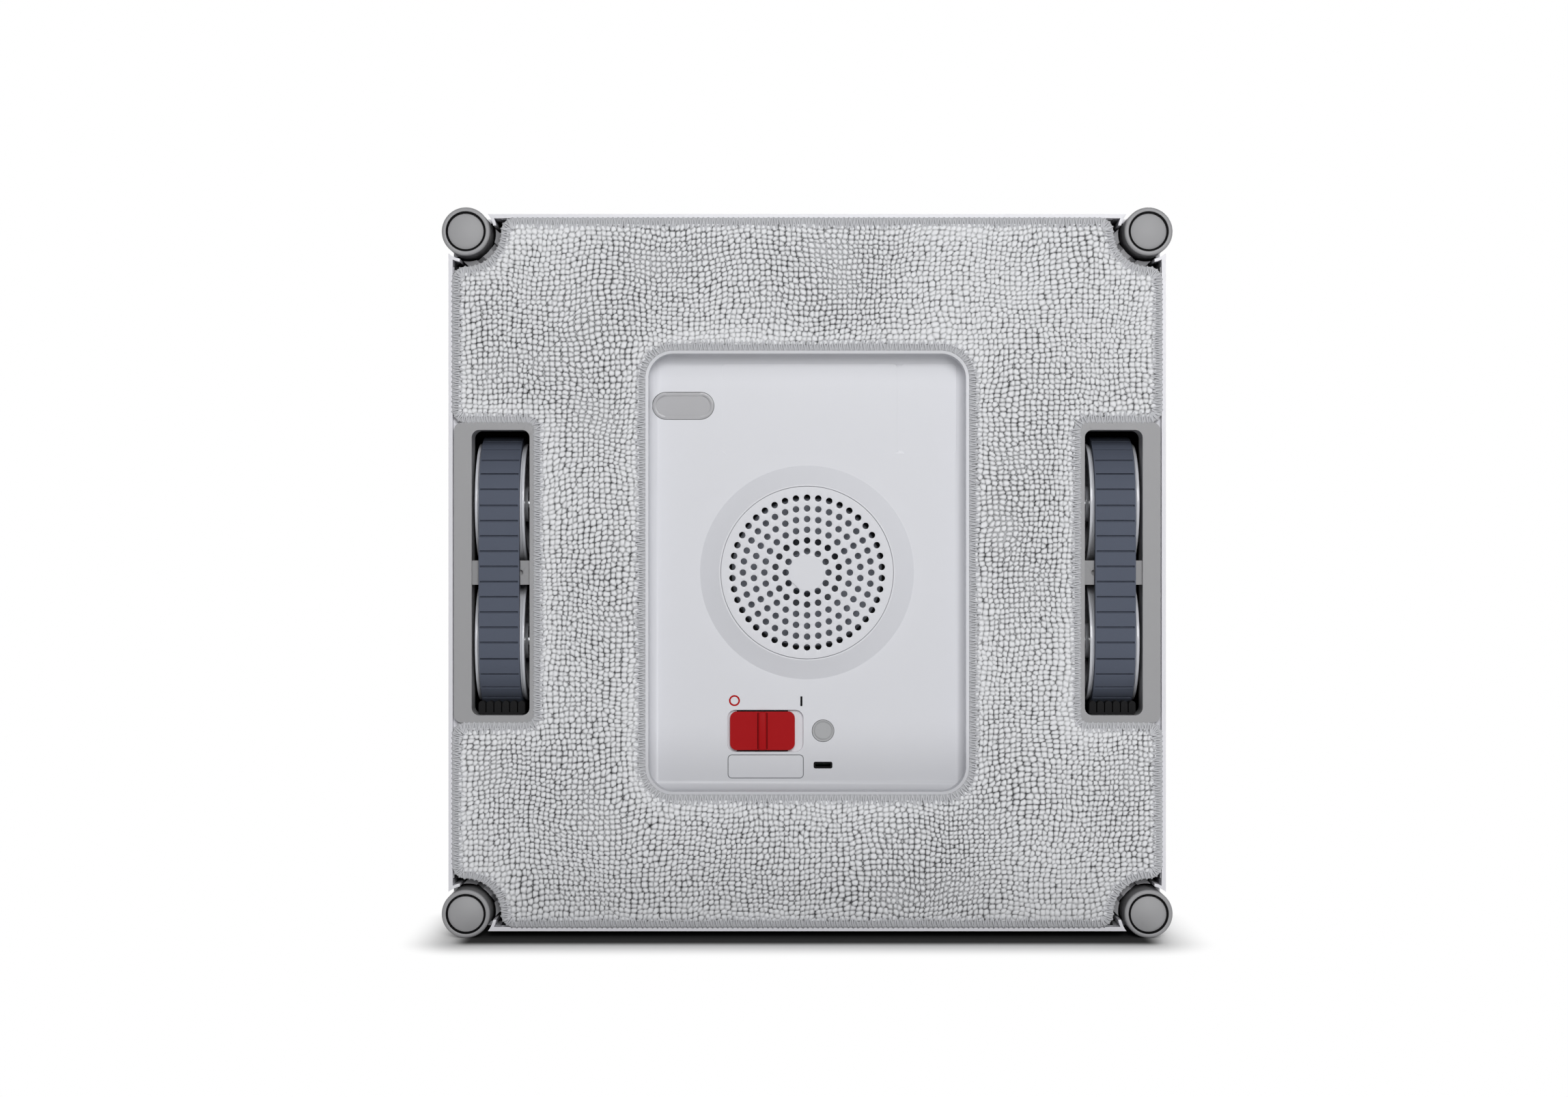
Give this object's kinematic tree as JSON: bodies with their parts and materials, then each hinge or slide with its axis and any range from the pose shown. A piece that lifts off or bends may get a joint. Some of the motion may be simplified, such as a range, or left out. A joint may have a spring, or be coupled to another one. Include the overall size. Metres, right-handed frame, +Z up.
{
  "type": "window cleaning robot",
  "caption": "Square vacuum window cleaning robot with a cloth pad, track wells with ribbed treads, corner rollers, a perforated fan intake and a slide switch.",
  "frame": {"origin": "bottom centre of the whole object's box, standing on edge", "axes": "+Z up along the glass, +X to the right when looking at the working side, -Y out of the working side towards the glass"},
  "size_m": [0.245, 0.104, 0.245],
  "materials": {
    "housing_shell": "satin moulded plastic",
    "cover_shell": "glossy moulded plastic",
    "tray_shell": "satin moulded plastic",
    "grille_plate": "satin moulded plastic",
    "seal_foam": "soft foam",
    "fan_plastic": "plain moulded plastic",
    "bezel_plastic": "fine grained plastic",
    "well_plastic": "plain moulded plastic",
    "tread_rubber": "matt rubber",
    "wheel_plastic": "bright moulded plastic",
    "steel": "ground steel",
    "gear_plastic": "moulded acetal",
    "brass": "turned brass",
    "motor_metal": "plated steel",
    "bridge_plastic": "plain moulded plastic",
    "scraper_rubber": "matt rubber",
    "roller_plastic": "smooth moulded plastic",
    "pad_cloth": "looped terry cloth",
    "hook_tape": "hook tape",
    "switch_red": "glossy moulded plastic",
    "control_black": "plain moulded plastic",
    "button_grey": "plain moulded plastic",
    "board_green": "lacquered circuit board",
    "window_grey": "smooth translucent plastic",
    "battery_wrap": "shrink wrap",
    "button_white": "glossy moulded plastic",
    "light_ring": "frosted light guide"
  },
  "bodies": {
    "housing": {"base_shell": "housing_shell", "top_cover": "cover_shell", "centre_tray": "tray_shell", "fan_grille": "grille_plate", "fan_seal": "seal_foam", "fan_casing": "fan_plastic", "fan_motor": "motor_metal", "left_track_bezel": "bezel_plastic", "right_track_bezel": "bezel_plastic", "left_track_housing": "well_plastic", "right_track_housing": "well_plastic", "left_tread": "tread_rubber", "right_tread": "tread_rubber", "idler_pins": "steel", "shaft_bushes": "brass", "left_track_bridge": "bridge_plastic", "right_track_bridge": "bridge_plastic", "left_tread_scraper": "scraper_rubber", "right_tread_scraper": "scraper_rubber", "left_gearmotor": "motor_metal", "right_gearmotor": "motor_metal", "roller_caps": "roller_plastic", "roller_pins": "steel", "roller_pockets": "well_plastic", "corner_brackets": "bezel_plastic", "cleaning_pad": "pad_cloth", "hook_strips": "hook_tape", "switch_body": "tray_shell", "control_board": "board_green", "service_port": "control_black", "sensor_window": "window_grey", "sensor_board": "board_green", "main_board": "board_green", "battery_pack": "battery_wrap", "handle": "housing_shell", "start_switch": "board_green", "status_ring": "light_ring", "tether_eyelet": "steel", "power_inlet": "control_black", "housing_screws": "steel"},
    "left_drive": {"left_drive_wheel": "wheel_plastic", "left_drive_shaft": "steel", "left_drive_gear": "gear_plastic"},
    "left_idler": {"left_idler_wheel": "wheel_plastic"},
    "left_pinion": {"left_motor_pinion": "brass"},
    "right_drive": {"right_drive_wheel": "wheel_plastic", "right_drive_shaft": "steel", "right_drive_gear": "gear_plastic"},
    "right_idler": {"right_idler_wheel": "wheel_plastic"},
    "right_pinion": {"right_motor_pinion": "brass"},
    "fan": {"fan_rotor": "fan_plastic"},
    "top_right_corner": {"top_right_roller": "roller_plastic"},
    "top_left_corner": {"top_left_roller": "roller_plastic"},
    "bottom_left_corner": {"bottom_left_roller": "roller_plastic"},
    "bottom_right_corner": {"bottom_right_roller": "roller_plastic"},
    "slider": {"switch_slider": "switch_red"},
    "reset": {"reset_button": "button_grey"},
    "start": {"start_button": "button_white"}
  },
  "joints": [
    {"name": "left_drive_spin", "type": "hinge", "parent": "housing", "child": "left_drive", "pos_m": [-0.1032, -0.029, 0.09916], "axis": [1, 0, 0], "continuous": true},
    {"name": "left_idler_spin", "type": "hinge", "parent": "housing", "child": "left_idler", "pos_m": [-0.1032, -0.029, 0.14584], "axis": [1, 0, 0], "continuous": true},
    {"name": "left_pinion_spin", "type": "hinge", "parent": "housing", "child": "left_pinion", "pos_m": [-0.081, -0.01539, 0.08555], "axis": [1, 0, 0], "continuous": true},
    {"name": "right_drive_spin", "type": "hinge", "parent": "housing", "child": "right_drive", "pos_m": [0.1032, -0.029, 0.09916], "axis": [1, 0, 0], "continuous": true},
    {"name": "right_idler_spin", "type": "hinge", "parent": "housing", "child": "right_idler", "pos_m": [0.1032, -0.029, 0.14584], "axis": [1, 0, 0], "continuous": true},
    {"name": "right_pinion_spin", "type": "hinge", "parent": "housing", "child": "right_pinion", "pos_m": [0.081, -0.01539, 0.08555], "axis": [1, 0, 0], "continuous": true},
    {"name": "fan_spin", "type": "hinge", "parent": "housing", "child": "fan", "pos_m": [0, -0.022, 0.1225], "axis": [0, 1, 0], "continuous": true},
    {"name": "top_right_roller_spin", "type": "hinge", "parent": "housing", "child": "top_right_corner", "pos_m": [0.1144, -0.043, 0.2369], "axis": [0, 1, 0], "continuous": true},
    {"name": "top_left_roller_spin", "type": "hinge", "parent": "housing", "child": "top_left_corner", "pos_m": [-0.1144, -0.043, 0.2369], "axis": [0, 1, 0], "continuous": true},
    {"name": "bottom_left_roller_spin", "type": "hinge", "parent": "housing", "child": "bottom_left_corner", "pos_m": [-0.1144, -0.043, 0.0081], "axis": [0, 1, 0], "continuous": true},
    {"name": "bottom_right_roller_spin", "type": "hinge", "parent": "housing", "child": "bottom_right_corner", "pos_m": [0.1144, -0.043, 0.0081], "axis": [0, 1, 0], "continuous": true},
    {"name": "switch_slide", "type": "slide", "parent": "housing", "child": "slider", "axis": [1, 0, 0], "range_m": [0, 0.002]},
    {"name": "reset_press", "type": "slide", "parent": "housing", "child": "reset", "axis": [0, 1, 0], "range_m": [0, 0.0008], "stiffness_N_per_m": 800, "springref_m": -0.001},
    {"name": "start_press", "type": "slide", "parent": "housing", "child": "start", "axis": [0, -1, 0], "range_m": [0, 0.001], "stiffness_N_per_m": 800, "springref_m": -0.001}
  ],
  "couplings": [
    {"joint": "left_idler_spin", "follows": "left_drive_spin", "ratio": 1},
    {"joint": "left_pinion_spin", "follows": "left_drive_spin", "ratio": -3},
    {"joint": "right_idler_spin", "follows": "right_drive_spin", "ratio": 1},
    {"joint": "right_pinion_spin", "follows": "right_drive_spin", "ratio": -3}
  ]
}
